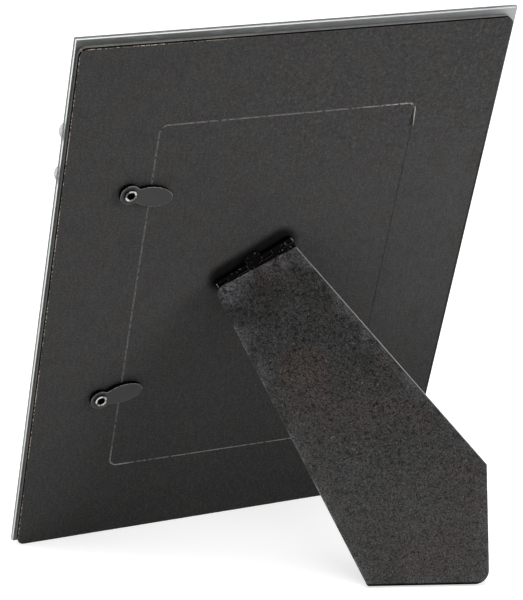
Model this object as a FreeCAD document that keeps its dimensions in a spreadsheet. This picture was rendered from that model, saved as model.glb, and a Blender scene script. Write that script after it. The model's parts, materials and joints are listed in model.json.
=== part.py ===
import FreeCAD, Part
import math
import os
import re
import Sketcher

# Photo frame with a glass front, a faced back board, a cut-in door with two turn buttons
# and a folding strut on a slanted hinge. It is built in millimetres, standing on its strut.
#
# Every plate is drawn in the back frame: x runs to the right as seen from behind, y runs up
# along the board, z points out of the board's back. The strut is drawn in the strut frame:
# x runs along the hinge pin, y runs back up past the hinge, z points out of the strut's outer face.

SIZES = {
    # Picture card, which sets the door, the board and the glass in turn
    "card_width": 101.6,
    "card_height": 152.4,
    # Door cut out of the board, with the facing left whole along its hinged side
    "door_side_play": 1.6,
    "door_end_play": 1.75,
    "door_corner": 3.5,
    "kerf": 0.3,
    "kerf_return": 6.0,
    "crease_width": 0.4,
    "crease_depth": 0.12,
    # Back board and its black facing sheet
    "board_side_border": 34.85,
    "board_end_border": 33.85,
    "board_corner": 3.2,
    "core_thickness": 2.5,
    "facing_thickness": 0.4,
    # Glass plate, proud of the board by a different amount on each side
    "glass_proud_left": 0.77,
    "glass_proud_right": 2.73,
    "glass_proud_top": 2.45,
    "glass_proud_bottom": 0.55,
    "glass_thickness": 2.0,
    "glass_arris": 0.3,
    # Silvered and painted border, open over the picture
    "coat_thickness": 0.2,
    "coat_lip": 2.8,
    # Adhesive frame between the coat and the board
    "bond_thickness": 0.3,
    "bond_inset": 3.0,
    # Round beads glued to the front, near one long edge
    "bead_radius": 3.6,
    "bead_height": 6.6,
    "bead_upper_in": 4.0,
    "bead_lower_in": 4.2,
    "bead_upper_drop": 40.5,
    "bead_lower_drop": 58.5,
    # Turn buttons on hollow eyelets
    "eyelet_beyond_door": 8.8,
    "eyelet_upper_rise": 50.7,
    "eyelet_lower_drop": 42.6,
    "eyelet_bore_radius": 1.45,
    "eyelet_radius": 1.85,
    "eyelet_rim_radius": 2.4,
    "eyelet_rim_height": 0.6,
    "eyelet_rim_bevel": 0.2,
    "eyelet_hole_play": 0.05,
    "flare_pocket_play": 0.3,
    "button_float": 0.15,
    "button_play": 0.08,
    "button_height": 2.4,
    "button_thickness": 0.8,
    "button_boss_radius": 2.9,
    "button_head_radius": 4.0,
    "blade_start": 1.2,
    "blade_tip": 17.2,
    "blade_width": 8.4,
    "button_waist_round": 1.5,
    "button_edge_bevel": 0.15,
    "button_upper_turn": -10.0,
    "button_lower_turn": 11.5,
    # Metal hinge between the door and the strut
    "hinge_side": 19.3,
    "hinge_rise": 5.4,
    "hinge_slant": 31.5,
    "knuckle_length": 4.4,
    "tongue_width": 6.6,
    "knuckle_gap": 0.2,
    "barrel_radius": 1.6,
    "barrel_lift": 0.1,
    "barrel_play": 0.3,
    "pin_radius": 0.8,
    "pin_play": 0.05,
    "pin_head_radius": 1.2,
    "pin_head_length": 0.4,
    "leaf_thickness": 0.6,
    "leaf_width": 12.0,
    "leaf_corner": 1.5,
    "stop_gap": 0.03,
    # Rivets through the hinge leaves
    "rivet_radius": 1.25,
    "rivet_head_radius": 2.3,
    "rivet_head_height": 0.8,
    "rivet_crown_radius": 1.3,
    "rivet_head_edge": 0.2,
    "rivet_flare_radius": 2.0,
    "rivet_flare_depth": 0.5,
    "door_rivet_in": 6.0,
    "door_rivet_drop": 7.0,
    "strut_rivet_in": 10.5,
    "strut_rivet_drop": 7.5,
    # Strut of hardboard, wrapped in grained paper and lined inside
    "strut_thickness": 2.8,
    "cover_thickness": 0.3,
    "cover_edge_round": 0.25,
    "strut_top_out": 2.2,
    "strut_top_short": 0.2,
    "strut_top_left_gap": 1.4,
    "strut_top_right_gap": 3.6,
    "strut_left_flare": 4.4,
    "strut_foot_length": 46.1,
    "strut_side_length": 45.2,
    "strut_shoulder_round": 3.0,
    "strut_tip_round": 5.5,
    "strut_corner_round": 0.9,
    # Stance: how far the strut is open at its stop, and how far the board leans back
    "open_angle": 44.75,
    "lean_angle": 20.9,
}

# The hinge barrel's segments along the pin: three knuckles, the stop tongue, three knuckles
KNUCKLES = 6
DOOR_SEGMENTS = (0, 2, 4, 6)
STRUT_SEGMENTS = (1, 5)
TONGUE_SEGMENT = 3

STRUT_CORNERS = ("top_left", "top_right", "side", "tip", "heel")
CORNER_ROUNDS = {
    "top_left": "strut_shoulder_round",
    "top_right": "strut_corner_round",
    "side": "strut_corner_round",
    "tip": "strut_tip_round",
    "heel": "strut_corner_round",
}

PARTS_FOLDER = "parts"
MATCH_TOLERANCE = 0.01
FULL_TURN = 360
HALF_TURN = 180
NODES = []


def offset_corner(before, corner, after, inset):
    """The corner of a clockwise outline whose two edges there are moved inwards by the inset."""
    def moved(first, second):
        length = math.hypot(second[0] - first[0], second[1] - first[1])
        along = ((second[0] - first[0]) / length, (second[1] - first[1]) / length)
        return (first[0] + along[1] * inset, first[1] - along[0] * inset), along
    start, first_way = moved(before, corner)
    end, second_way = moved(corner, after)
    cross = first_way[0] * second_way[1] - first_way[1] * second_way[0]
    reach = ((end[0] - start[0]) * second_way[1] - (end[1] - start[1]) * second_way[0]) / cross
    return start[0] + first_way[0] * reach, start[1] + first_way[1] * reach


def inset_outline(points, inset):
    count = len(points)
    return [offset_corner(points[i - 1], points[i], points[(i + 1) % count], inset) for i in range(count)]


def door_height():
    return SIZES["card_height"] + 2 * SIZES["door_end_play"]


def board_height():
    return door_height() + 2 * SIZES["board_end_border"]


def axis_height():
    """How far the hinge pin's axis stands off the back of the facing."""
    return SIZES["barrel_radius"] + SIZES["barrel_lift"]


def hinge_length():
    return KNUCKLES * SIZES["knuckle_length"] + SIZES["tongue_width"]


def strut_outline():
    """Corners of the strut in the strut frame, its foot cut to lie on the floor when it is open.

    The foot is where the strut's inner face meets the floor, a plane through the board's lower
    back edge that makes the lean angle with the square of the board.
    """
    slant = math.radians(SIZES["hinge_slant"])
    opened = math.radians(SIZES["open_angle"])
    lean = math.radians(SIZES["lean_angle"])
    axis = axis_height()
    rise = board_height() / 2 + SIZES["hinge_rise"]
    share = math.cos(lean) * math.cos(opened) * math.cos(slant) + math.sin(lean) * math.sin(opened)
    height = rise + axis * math.sin(opened) * math.cos(slant)
    depth = axis + axis * math.cos(opened)
    foot_reach = (math.cos(lean) * height - math.sin(lean) * depth) / share
    foot_slope = math.cos(lean) * math.sin(slant) / share
    foot = math.atan(foot_slope)
    flare = math.tan(math.radians(SIZES["strut_left_flare"]))
    left = -SIZES["strut_top_out"]
    top_left = (left, SIZES["strut_top_left_gap"])
    top_right = (hinge_length() - SIZES["strut_top_short"], SIZES["strut_top_right_gap"])
    heel_along = (left - (foot_reach - top_left[1]) * flare) / (1 + foot_slope * flare)
    heel = (heel_along, foot_reach + heel_along * foot_slope)
    tip = (heel[0] + SIZES["strut_foot_length"] * math.cos(foot),
           heel[1] + SIZES["strut_foot_length"] * math.sin(foot))
    side = (tip[0] + SIZES["strut_side_length"] * math.sin(foot),
            tip[1] - SIZES["strut_side_length"] * math.cos(foot))
    return [(along, -down) for along, down in (top_left, top_right, side, tip, heel)]


def derived_sizes():
    """Sizes that follow from the driving ones, kept in the sheet beside them."""
    opened = math.radians(SIZES["open_angle"])
    axis = axis_height()
    under_leaf = axis - SIZES["leaf_thickness"]
    door_width = SIZES["card_width"] + 2 * SIZES["door_side_play"]
    found = {
        "door_width": door_width,
        "door_height": door_height(),
        "board_width": door_width + 2 * SIZES["board_side_border"],
        "board_height": board_height(),
        "eyelet_side": door_width / 2 + SIZES["eyelet_beyond_door"],
        "axis_height": axis,
        "hinge_length": hinge_length(),
        "notch_depth": math.sqrt((SIZES["barrel_radius"] + SIZES["barrel_play"]) ** 2 - under_leaf ** 2),
        "tongue_reach": (axis + under_leaf * math.cos(opened) - SIZES["stop_gap"]) / math.sin(opened),
    }
    outer = strut_outline()
    for prefix, points in (("strut", outer), ("lined", inset_outline(outer, SIZES["cover_thickness"]))):
        for corner, point in zip(STRUT_CORNERS, points):
            found[f"{prefix}_{corner}_along"] = point[0]
            found[f"{prefix}_{corner}_up"] = point[1]
    return found


DERIVED = derived_sizes()


def fill_sheet(doc):
    sheet = doc.addObject("Spreadsheet::Sheet", "Sizes")
    for row, (name, value) in enumerate({**SIZES, **DERIVED}.items(), start=1):
        sheet.set(f"A{row}", name)
        sheet.set(f"B{row}", repr(float(value)))
        sheet.setAlias(f"B{row}", name)
    doc.recompute()
    return sheet


def linked(text):
    """An expression in which every size is read from the sheet."""
    def to_cell(match):
        word = match.group()
        return f"Sizes.{word}" if word in SIZES or word in DERIVED else word
    return re.sub(r"[a-z][a-z_]+", to_cell, text)


def value(text):
    """The number that an expression gives now."""
    return float(sheet.evalExpression(linked(text)))


def new_body(label):
    body = doc.addObject("PartDesign::Body", label)
    body.Label = label
    NODES.append(body)
    return body


def origin_plane(body, role):
    return next(item for item in body.Origin.OriginFeatures if item.Role == role)


def new_sketch(body, name, lift="0", role="XY_Plane"):
    sketch = body.newObject("Sketcher::SketchObject", name)
    sketch.AttachmentSupport = [(origin_plane(body, role), "")]
    sketch.MapMode = "FlatFace"
    sketch.setExpression("AttachmentOffset.Base.z", linked(lift))
    return sketch


def bind(sketch, kind, geometry, text):
    """Add one dimension to a sketch and bind it to the sheet."""
    index = sketch.addConstraint(Sketcher.Constraint(kind, *geometry, value(text)))
    sketch.setExpression(f"Constraints[{index}]", linked(text))


def draw_polygon(sketch, corners):
    """A closed outline through corners given as pairs of expressions."""
    points = [FreeCAD.Vector(value(across), value(up), 0) for across, up in corners]
    first = sketch.GeometryCount
    for i, point in enumerate(points):
        sketch.addGeometry(Part.LineSegment(point, points[(i + 1) % len(points)]), False)
    for i, (across, up) in enumerate(corners):
        following = first + (i + 1) % len(corners)
        sketch.addConstraint(Sketcher.Constraint("Coincident", first + i, 2, following, 1))
        bind(sketch, "DistanceX", (-1, 1, first + i, 1), across)
        bind(sketch, "DistanceY", (-1, 1, first + i, 1), up)


def draw_rectangle(sketch, left, bottom, right, top):
    draw_polygon(sketch, [(left, bottom), (right, bottom), (right, top), (left, top)])


def draw_circle(sketch, across, up, radius):
    centre = FreeCAD.Vector(value(across), value(up), 0)
    index = sketch.addGeometry(Part.Circle(centre, FreeCAD.Vector(0, 0, 1), value(radius)), False)
    bind(sketch, "DistanceX", (-1, 1, index, 3), across)
    bind(sketch, "DistanceY", (-1, 1, index, 3), up)
    bind(sketch, "Radius", (index,), radius)


def pad(body, name, sketch, length, reverse=False):
    feature = body.newObject("PartDesign::Pad", name)
    feature.Profile = sketch
    feature.setExpression("Length", linked(length))
    feature.Reversed = reverse
    sketch.Visibility = False
    doc.recompute()
    return feature


def pocket(body, name, sketch, depth, reverse=False):
    """Cut a sketch's outline, and check that it takes something away."""
    before = body.Shape.Volume
    feature = body.newObject("PartDesign::Pocket", name)
    feature.Profile = sketch
    feature.setExpression("Length", linked(depth))
    feature.Reversed = reverse
    sketch.Visibility = False
    doc.recompute()
    if body.Shape.Volume >= before:
        raise RuntimeError(f"{name} takes nothing away")
    return feature


def revolve(body, name, sketch):
    """Turn a sketch on the XZ plane a full turn about the body's z axis."""
    feature = body.newObject("PartDesign::Revolution", name)
    feature.Profile = sketch
    feature.ReferenceAxis = (sketch, ["V_Axis"])
    feature.Angle = FULL_TURN
    sketch.Visibility = False
    doc.recompute()
    return feature


def dress(body, kind, name, edges, amount_name, amount):
    """A fillet or chamfer on the named edges of the body's last feature."""
    base = body.Tip
    feature = body.newObject(kind, name)
    feature.Base = (base, edges)
    feature.setExpression(amount_name, linked(amount))
    doc.recompute()
    return feature


def fillet(body, name, edges, radius):
    return dress(body, "PartDesign::Fillet", name, edges, "Radius", radius)


def near(first, second):
    return abs(first - second) < MATCH_TOLERANCE


def edges_where(shape, test):
    return [f"Edge{i}" for i, edge in enumerate(shape.Edges, start=1) if test(edge)]


def upright_edges(shape, corners):
    """Straight edges along z through the given corners."""
    spots = [(value(across), value(up)) for across, up in corners]
    def stands_there(edge):
        box = edge.BoundBox
        if box.XLength > MATCH_TOLERANCE or box.YLength > MATCH_TOLERANCE:
            return False
        return any(near(box.XMin, spot[0]) and near(box.YMin, spot[1]) for spot in spots)
    return edges_where(shape, stands_there)


def flat_edges(shape, levels):
    """Edges that lie in a plane square to z at one of the given levels."""
    heights = [value(level) for level in levels]
    def lies_there(edge):
        box = edge.BoundBox
        return box.ZLength < MATCH_TOLERANCE and any(near(box.ZMin, height) for height in heights)
    return edges_where(shape, lies_there)


def stands_off_axis(edge):
    """Whether an edge stands upright to one side of the body's x axis."""
    box = edge.BoundBox
    upright = box.XLength < MATCH_TOLERANCE and box.YLength < MATCH_TOLERANCE
    return upright and abs(box.YMin) > MATCH_TOLERANCE


def faces_at(shape, level):
    """Faces that lie in a plane square to z at the given level."""
    height = value(level)
    boxes = [(f"Face{i}", face.BoundBox) for i, face in enumerate(shape.Faces, start=1)]
    return [name for name, box in boxes if box.ZLength < MATCH_TOLERANCE and near(box.ZMin, height)]


def box_corners(left, bottom, right, top):
    return [(left, bottom), (right, bottom), (right, top), (left, top)]


# Levels in the back frame, from the back face forwards
CORE_BACK = "-facing_thickness"
CORE_FRONT = "-(facing_thickness + core_thickness)"
COAT_BACK = "-(facing_thickness + core_thickness + bond_thickness)"
GLASS_BACK = "-(facing_thickness + core_thickness + bond_thickness + coat_thickness)"
GLASS_FRONT = "-(facing_thickness + core_thickness + bond_thickness + coat_thickness + glass_thickness)"

# Outlines in the back frame, whose origin is the middle of the board's lower back edge
BOARD_BOX = ("-board_width / 2", "0", "board_width / 2", "board_height")
GLASS_BOX = ("-board_width / 2 - glass_proud_left", "-glass_proud_bottom",
             "board_width / 2 + glass_proud_right", "board_height + glass_proud_top")
CARD_BOX = ("-card_width / 2", "(board_height - card_height) / 2",
            "card_width / 2", "(board_height + card_height) / 2")


def door_box(grow):
    """The door's outline, larger on each side by an expression, centred on the board."""
    return (f"-door_width / 2 - {grow}", f"(board_height - door_height) / 2 - {grow}",
            f"door_width / 2 + {grow}", f"(board_height + door_height) / 2 + {grow}")


def inset_box(box, inset):
    """A box that lies inside another one by the same amount on each side."""
    left, bottom, right, top = box
    return f"{left} + {inset}", f"{bottom} + {inset}", f"{right} - {inset}", f"{top} - {inset}"




def plate(label, box, back, thickness, corner=None):
    """A flat plate whose back face lies at a level, with rounded corners if a radius is given."""
    body = new_body(label)
    sketch = new_sketch(body, f"{label}_outline", back)
    draw_rectangle(sketch, *box)
    pad(body, f"{label}_plate", sketch, thickness, reverse=True)
    if corner:
        fillet(body, f"{label}_corners", upright_edges(body.Shape, box_corners(*box)), corner)
    return body


def cut_window(body, box, back, depth, corner=None):
    """Cut a rectangle through a plate, with rounded corners if a radius is given."""
    sketch = new_sketch(body, f"{body.Label}_window", back)
    draw_rectangle(sketch, *box)
    pocket(body, f"{body.Label}_opening", sketch, depth)
    if corner:
        fillet(body, f"{body.Label}_opening_corners", upright_edges(body.Shape, box_corners(*box)), corner)


EYELET_HOLE_RADIUS = "eyelet_radius + eyelet_hole_play"


def eyelet_spots():
    return (("-eyelet_side", "board_height / 2 + eyelet_upper_rise"),
            ("-eyelet_side", "board_height / 2 - eyelet_lower_drop"))


def door_rivet_spots():
    """Places of the two rivets that hold the hinge to the door, in the back frame."""
    ends = ("door_rivet_in", "(hinge_length - door_rivet_in)")
    return [hinge_spot(along, "door_rivet_drop") for along in ends]


def hinge_spot(along, drop):
    """A place given along the pin and down from it, as expressions in the back frame."""
    across = f"-hinge_side + {along} * cos(hinge_slant * 1 deg) + {drop} * sin(hinge_slant * 1 deg)"
    up = (f"board_height / 2 + hinge_rise + {along} * sin(hinge_slant * 1 deg)"
          f" - {drop} * cos(hinge_slant * 1 deg)")
    return across, up


def drill(body, name, spots, radius, back, depth):
    sketch = new_sketch(body, f"{body.Label}_{name}", back)
    for across, up in spots:
        draw_circle(sketch, across, up, radius)
    pocket(body, f"{body.Label}_{name}_cut", sketch, depth)


def make_glass():
    body = plate("glass_plate", GLASS_BOX, GLASS_BACK, "glass_thickness")
    rim = flat_edges(body.Shape, (GLASS_BACK, GLASS_FRONT))
    dress(body, "PartDesign::Chamfer", "glass_plate_arris", rim, "Size", "glass_arris")
    return body


def make_coat():
    """The silvered and painted border on the back of the glass, open over the picture."""
    body = plate("mirror_coat", inset_box(GLASS_BOX, "glass_arris"), COAT_BACK, "coat_thickness")
    cut_window(body, inset_box(CARD_BOX, "coat_lip"), COAT_BACK, "coat_thickness")
    return body


def make_bond():
    body = plate("bond_frame", inset_box(BOARD_BOX, "bond_inset"), CORE_FRONT, "bond_thickness")
    cut_window(body, door_box("kerf / 2"), CORE_FRONT, "bond_thickness")
    return body


def make_card():
    return plate("picture_card", CARD_BOX, CORE_FRONT, "bond_thickness")


def make_board():
    """The board's core, open where the door lies and drilled for the eyelets."""
    body = plate("back_board", BOARD_BOX, CORE_BACK, "core_thickness", "board_corner")
    cut_window(body, door_box("kerf / 2"), CORE_BACK, "core_thickness", "door_corner")
    drill(body, "eyelet_holes", eyelet_spots(), EYELET_HOLE_RADIUS, CORE_BACK, "core_thickness")
    pocket_back = f"{CORE_FRONT} + eyelet_rim_height + eyelet_hole_play"
    drill(body, "flare_pockets", eyelet_spots(), "eyelet_rim_radius + flare_pocket_play", pocket_back,
          "eyelet_rim_height + eyelet_hole_play")
    return body


def make_door():
    """The door's core, drilled for the two rivets of the hinge."""
    body = plate("door_panel", door_box("(-kerf / 2)"), CORE_BACK, "core_thickness", "door_corner - kerf")
    drill(body, "rivet_holes", door_rivet_spots(), "rivet_radius", CORE_BACK, "core_thickness")
    pocket_back = f"{CORE_FRONT} + rivet_flare_depth"
    drill(body, "rivet_pockets", door_rivet_spots(), "rivet_flare_radius", pocket_back, "rivet_flare_depth")
    return body


def make_facing():
    """One black sheet over board and door, slit along three sides of the door and round its corners.

    The slit stops a little way down the fourth side, where the sheet stays whole as the door's hinge.
    """
    body = plate("back_facing", BOARD_BOX, "0", "facing_thickness", "board_corner")
    sketch = new_sketch(body, "back_facing_slit", "0")
    left, bottom, right, top = door_box("kerf / 2")
    inner_left, inner_bottom, inner_right, inner_top = door_box("(-kerf / 2)")
    lower_end = f"{bottom} + door_corner + kerf_return"
    upper_end = f"{top} - door_corner - kerf_return"
    slit = [(right, upper_end), (right, top), (left, top), (left, bottom),
            (right, bottom), (right, lower_end), (inner_right, lower_end), (inner_right, inner_bottom),
            (inner_left, inner_bottom), (inner_left, inner_top), (inner_right, inner_top),
            (inner_right, upper_end)]
    draw_polygon(sketch, slit)
    pocket(body, "back_facing_cut", sketch, "facing_thickness")
    outer = upright_edges(body.Shape, box_corners(left, bottom, right, top))
    fillet(body, "back_facing_outer_bends", outer, "door_corner")
    inner = upright_edges(body.Shape, box_corners(inner_left, inner_bottom, inner_right, inner_top))
    fillet(body, "back_facing_inner_bends", inner, "door_corner - kerf")
    crease = new_sketch(body, "back_facing_crease", "0")
    fold = "door_width / 2"
    draw_rectangle(crease, f"{fold} - crease_width / 2", lower_end, f"{fold} + crease_width / 2", upper_end)
    pocket(body, "back_facing_creased", crease, "crease_depth")
    drill(body, "eyelet_holes", eyelet_spots(), EYELET_HOLE_RADIUS, "0", "facing_thickness")
    drill(body, "rivet_holes", door_rivet_spots(), "rivet_radius", "0", "facing_thickness")
    return body


def make_bead(label, edge_in, drop):
    """A nearly round bead, cut flat where it is glued to the front of the glass."""
    body = new_body(label)
    sketch = new_sketch(body, f"{label}_profile", role="XZ_Plane")
    radius = value("bead_radius")
    height = value("bead_height")
    foot = math.sqrt(radius ** 2 - (height - radius) ** 2)
    centre = FreeCAD.Vector(0, height - radius, 0)
    start = math.atan2(radius - height, foot)
    circle = Part.Circle(centre, FreeCAD.Vector(0, 0, 1), radius)
    arc = sketch.addGeometry(Part.ArcOfCircle(circle, start, math.pi / 2), False)
    axis = sketch.addGeometry(Part.LineSegment(FreeCAD.Vector(0, height, 0), FreeCAD.Vector(0, 0, 0)), False)
    base = sketch.addGeometry(Part.LineSegment(FreeCAD.Vector(0, 0, 0), FreeCAD.Vector(foot, 0, 0)), False)
    sketch.addConstraint(Sketcher.Constraint("Coincident", arc, 2, axis, 1))
    sketch.addConstraint(Sketcher.Constraint("Coincident", axis, 2, base, 1))
    sketch.addConstraint(Sketcher.Constraint("Coincident", base, 2, arc, 1))
    sketch.addConstraint(Sketcher.Constraint("Coincident", axis, 2, -1, 1))
    sketch.addConstraint(Sketcher.Constraint("PointOnObject", arc, 3, -2))
    sketch.addConstraint(Sketcher.Constraint("Vertical", axis))
    sketch.addConstraint(Sketcher.Constraint("Horizontal", base))
    bind(sketch, "Radius", (arc,), "bead_radius")
    bind(sketch, "DistanceY", (axis, 2, axis, 1), "bead_height")
    revolve(body, f"{label}_turned", sketch)
    across = value(f"{GLASS_BOX[0]} + {edge_in}")
    up = value(f"{GLASS_BOX[3]} - {drop}")
    turned_forwards = FreeCAD.Rotation(FreeCAD.Vector(1, 0, 0), HALF_TURN)
    body.Placement = FreeCAD.Placement(FreeCAD.Vector(across, up, value(GLASS_FRONT)), turned_forwards)
    return body


def make_eyelet(label, spot):
    """A hollow rivet: a thin tube through the board, with a rim over the button and a flared foot."""
    body = new_body(label)
    sketch = new_sketch(body, f"{label}_profile", role="XZ_Plane")
    rim_low = "button_height + button_float"
    rim_top = f"{rim_low} + eyelet_rim_height"
    draw_polygon(sketch, [("eyelet_bore_radius", CORE_FRONT),
                          ("eyelet_rim_radius", CORE_FRONT),
                          ("eyelet_rim_radius", f"{CORE_FRONT} + eyelet_rim_height"),
                          ("eyelet_radius", f"{CORE_FRONT} + eyelet_rim_height"),
                          ("eyelet_radius", rim_low),
                          ("eyelet_rim_radius", rim_low),
                          ("eyelet_rim_radius", f"{rim_top} - eyelet_rim_bevel"),
                          ("eyelet_rim_radius - eyelet_rim_bevel", rim_top),
                          ("eyelet_bore_radius + eyelet_rim_bevel", rim_top),
                          ("eyelet_bore_radius", f"{rim_top} - eyelet_rim_bevel")])
    revolve(body, f"{label}_turned", sketch)
    body.Placement = FreeCAD.Placement(FreeCAD.Vector(value(spot[0]), value(spot[1]), 0), FreeCAD.Rotation())
    return body


def make_button(label, spot, turn):
    """A turn button: a stamped plate with a round head and an oval blade, raised on a pressed boss."""
    body = new_body(label)
    head = new_sketch(body, f"{label}_head", "button_height")
    draw_circle(head, "0", "0", "button_head_radius")
    pad(body, f"{label}_disc", head, "button_thickness", reverse=True)
    blade = new_sketch(body, f"{label}_blade", "button_height")
    middle = value("(blade_start + blade_tip) / 2")
    tip = FreeCAD.Vector(value("blade_tip"), 0, 0)
    flank = FreeCAD.Vector(middle, value("blade_width / 2"), 0)
    oval = blade.addGeometry(Part.Ellipse(tip, flank, FreeCAD.Vector(middle, 0, 0)), False)
    blade.exposeInternalGeometry(oval)
    bind(blade, "DistanceX", (-1, 1, oval, 3), "(blade_start + blade_tip) / 2")
    blade.addConstraint(Sketcher.Constraint("PointOnObject", oval, 3, -1))
    blade.addConstraint(Sketcher.Constraint("Horizontal", oval + 1))
    bind(blade, "Distance", (oval + 1,), "blade_tip - blade_start")
    bind(blade, "Distance", (oval + 2,), "blade_width")
    pad(body, f"{label}_oval", blade, "button_thickness", reverse=True)
    fillet(body, f"{label}_waist", edges_where(body.Shape, stands_off_axis), "button_waist_round")
    rim = flat_edges(body.Shape, ("button_height",))
    dress(body, "PartDesign::Chamfer", f"{label}_edge", rim, "Size", "button_edge_bevel")
    foot = new_sketch(body, f"{label}_foot", "button_float")
    draw_circle(foot, "0", "0", "button_boss_radius")
    pad(body, f"{label}_boss", foot, "button_height - button_float - button_thickness / 2")
    bore = new_sketch(body, f"{label}_bore", "button_height")
    draw_circle(bore, "0", "0", "eyelet_radius + button_play")
    pocket(body, f"{label}_bored", bore, "button_height")
    turned = FreeCAD.Rotation(FreeCAD.Vector(0, 0, 1), value(turn))
    body.Placement = FreeCAD.Placement(FreeCAD.Vector(value(spot[0]), value(spot[1]), 0), turned)
    return body


def segment_start(index):
    """Where a segment of the hinge barrel starts: three knuckles, the tongue, three knuckles."""
    if index <= TONGUE_SEGMENT:
        return f"{index} * knuckle_length"
    return f"({index} - 1) * knuckle_length + tongue_width"


def leaf_blank(body, name, face, fingers):
    """A flat leaf with fingers that reach up past its notched edge, as it is stamped out.

    Each finger is its first and last place along the pin and how far it reaches past the pin.
    """
    sketch = new_sketch(body, name, face)
    outline = [("0", "-leaf_width"), ("0", "-notch_depth")]
    for start, end, reach in fingers:
        outline += [(start, "-notch_depth"), (start, reach), (end, reach), (end, "-notch_depth")]
    outline += [("hinge_length", "-notch_depth"), ("hinge_length", "-leaf_width")]
    kept = []
    for corner in outline:
        here = [value(text) for text in corner]
        if not kept or math.dist(here, [value(text) for text in kept[-1]]) > MATCH_TOLERANCE:
            kept.append(corner)
    draw_polygon(sketch, kept)
    return sketch


def segment_ends(index):
    """A segment's first and last place, with half a gap taken off where it meets another."""
    last = max(DOOR_SEGMENTS)
    start = segment_start(index) + (" + knuckle_gap / 2" if index > 0 else "")
    end = segment_start(index + 1) + (" - knuckle_gap / 2" if index < last else "")
    return start, end


def roll_knuckles(body, segments):
    """Round knuckles about the pin on the given segments of the barrel."""
    for index in segments:
        start, end = segment_ends(index)
        sketch = new_sketch(body, f"{body.Label}_knuckle_{index}", start, role="YZ_Plane")
        draw_circle(sketch, "0", "0", "barrel_radius")
        pad(body, f"{body.Label}_roll_{index}", sketch, f"{end} - ({start})")
    for index in segments:
        start, end = segment_ends(index)
        sketch = new_sketch(body, f"{body.Label}_eye_{index}", start, role="YZ_Plane")
        draw_circle(sketch, "0", "0", "pin_radius + pin_play")
        pocket(body, f"{body.Label}_eye_cut_{index}", sketch, f"{end} - ({start})", reverse=True)


def finish_leaf(body, low, spots):
    corners = [("0", "-leaf_width"), ("hinge_length", "-leaf_width")]
    fillet(body, f"{body.Label}_corners", upright_edges(body.Shape, corners), "leaf_corner")
    sketch = new_sketch(body, f"{body.Label}_holes", f"{low} + leaf_thickness")
    for along, up in spots:
        draw_circle(sketch, along, up, "rivet_radius")
    pocket(body, f"{body.Label}_punched", sketch, "leaf_thickness")


def rivet_pair(inset, drop):
    return ((inset, f"-{drop}"), (f"hinge_length - {inset}", f"-{drop}"))


def make_door_leaf():
    """The leaf riveted to the door, with four knuckles."""
    body = new_body("hinge_door_leaf")
    low = "-axis_height"
    fingers = [(*segment_ends(index), "0") for index in DOOR_SEGMENTS]
    sketch = leaf_blank(body, "hinge_door_leaf_blank", low, fingers)
    pad(body, "hinge_door_leaf_plate", sketch, "leaf_thickness")
    roll_knuckles(body, DOOR_SEGMENTS)
    finish_leaf(body, low, rivet_pair("door_rivet_in", "door_rivet_drop"))
    body.Placement = HINGE_PLACE
    return body


def make_strut_leaf():
    """The leaf riveted to the strut, with two knuckles and the tongue that stops it when open."""
    body = new_body("hinge_strut_leaf")
    low = "axis_height - leaf_thickness"
    segments = sorted((*STRUT_SEGMENTS, TONGUE_SEGMENT))
    fingers = [(*segment_ends(index), "tongue_reach" if index == TONGUE_SEGMENT else "0") for index in segments]
    sketch = leaf_blank(body, "hinge_strut_leaf_blank", low, fingers)
    pad(body, "hinge_strut_leaf_plate", sketch, "leaf_thickness")
    roll_knuckles(body, STRUT_SEGMENTS)
    finish_leaf(body, low, rivet_pair("strut_rivet_in", "strut_rivet_drop"))
    body.Placement = STRUT_PLACE
    return body


def make_pin():
    """The hinge pin, with a low head at each end of the barrel."""
    body = new_body("hinge_pin")
    shank = new_sketch(body, "hinge_pin_shank", role="YZ_Plane")
    draw_circle(shank, "0", "0", "pin_radius")
    pad(body, "hinge_pin_rod", shank, "hinge_length")
    for name, start, reverse in (("first", "0", True), ("last", "hinge_length", False)):
        head = new_sketch(body, f"hinge_pin_{name}_head", start, role="YZ_Plane")
        draw_circle(head, "0", "0", "pin_head_radius")
        pad(body, f"hinge_pin_{name}_cap", head, "pin_head_length", reverse=reverse)
    body.Placement = HINGE_PLACE
    return body


def make_rivets(label, low, head_down, length, spots, place):
    """Two tubular rivets as one group: a domed head, a shank and a flare at the far end."""
    body_list = []
    for number, (along, up) in enumerate(spots, start=1):
        rivet = doc.addObject("PartDesign::Body", f"{label}_{number}")
        profile = new_sketch(rivet, f"{label}_{number}_profile", role="XZ_Plane")
        draw_polygon(profile, [("0", "rivet_head_height"),
                               ("rivet_crown_radius", "rivet_head_height"),
                               ("rivet_head_radius", "rivet_head_edge"),
                               ("rivet_head_radius", "0"),
                               ("rivet_radius", "0"),
                               ("rivet_radius", f"-({length}) + rivet_flare_depth"),
                               ("rivet_flare_radius", f"-({length}) + rivet_flare_depth"),
                               ("rivet_flare_radius", f"-({length})"),
                               ("0", f"-({length})")])
        revolve(rivet, f"{label}_{number}_turned", profile)
        flipped = FreeCAD.Rotation(FreeCAD.Vector(1, 0, 0), HALF_TURN if head_down else 0)
        spot = FreeCAD.Vector(value(along), value(up), value(low))
        rivet.Placement = FreeCAD.Placement(spot, flipped)
        body_list.append(rivet)
    group = doc.addObject("Part::Compound", label)
    group.Label = label
    group.Links = body_list
    doc.recompute()
    group.Placement = place
    NODES.append(group)
    return group


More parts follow.
